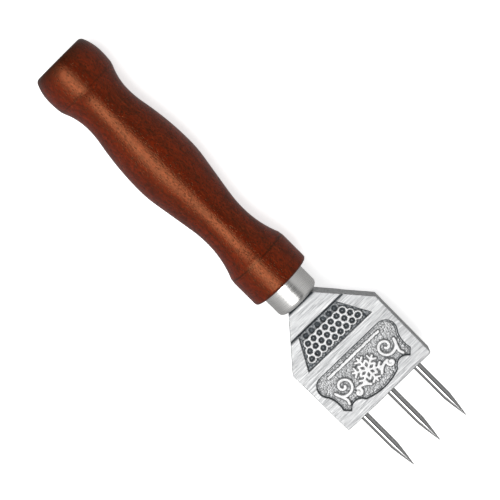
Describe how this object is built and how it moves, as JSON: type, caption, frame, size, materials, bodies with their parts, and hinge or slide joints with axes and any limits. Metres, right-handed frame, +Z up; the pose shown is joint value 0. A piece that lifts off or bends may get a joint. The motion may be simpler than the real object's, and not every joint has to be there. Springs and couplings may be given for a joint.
{
  "type": "three-prong ice pick",
  "caption": "Hand ice pick with a turned wooden handle, a metal ferrule and a flat cast head that carries straight pointed steel prongs.",
  "frame": {"origin": "middle of the bounding box's base, on the surface that the tool lies on", "axes": "+X along the tool from the pommel towards the prong tips, +Z up out of the head's decorated face, +Y across the head: to the right when the decorated face is seen from above with the pommel pointing up the page"},
  "size_m": [0.21, 0.045, 0.028],
  "materials": {
    "stained_wood": "red-brown stain under satin varnish, fine open pores",
    "satin_steel": "satin, turned and lightly polished",
    "stud_steel": "plain rolled thread",
    "cast_zinc": "zinc-alloy casting linished across the faces, with darkened recesses",
    "prong_steel": "bright ground and polished"
  },
  "bodies": {
    "root": {"wood_handle": "stained_wood", "ferrule": "satin_steel", "stud": "stud_steel", "head_casting": "cast_zinc", "prong_left": "prong_steel", "prong_middle": "prong_steel", "prong_right": "prong_steel"}
  },
  "joints": []
}
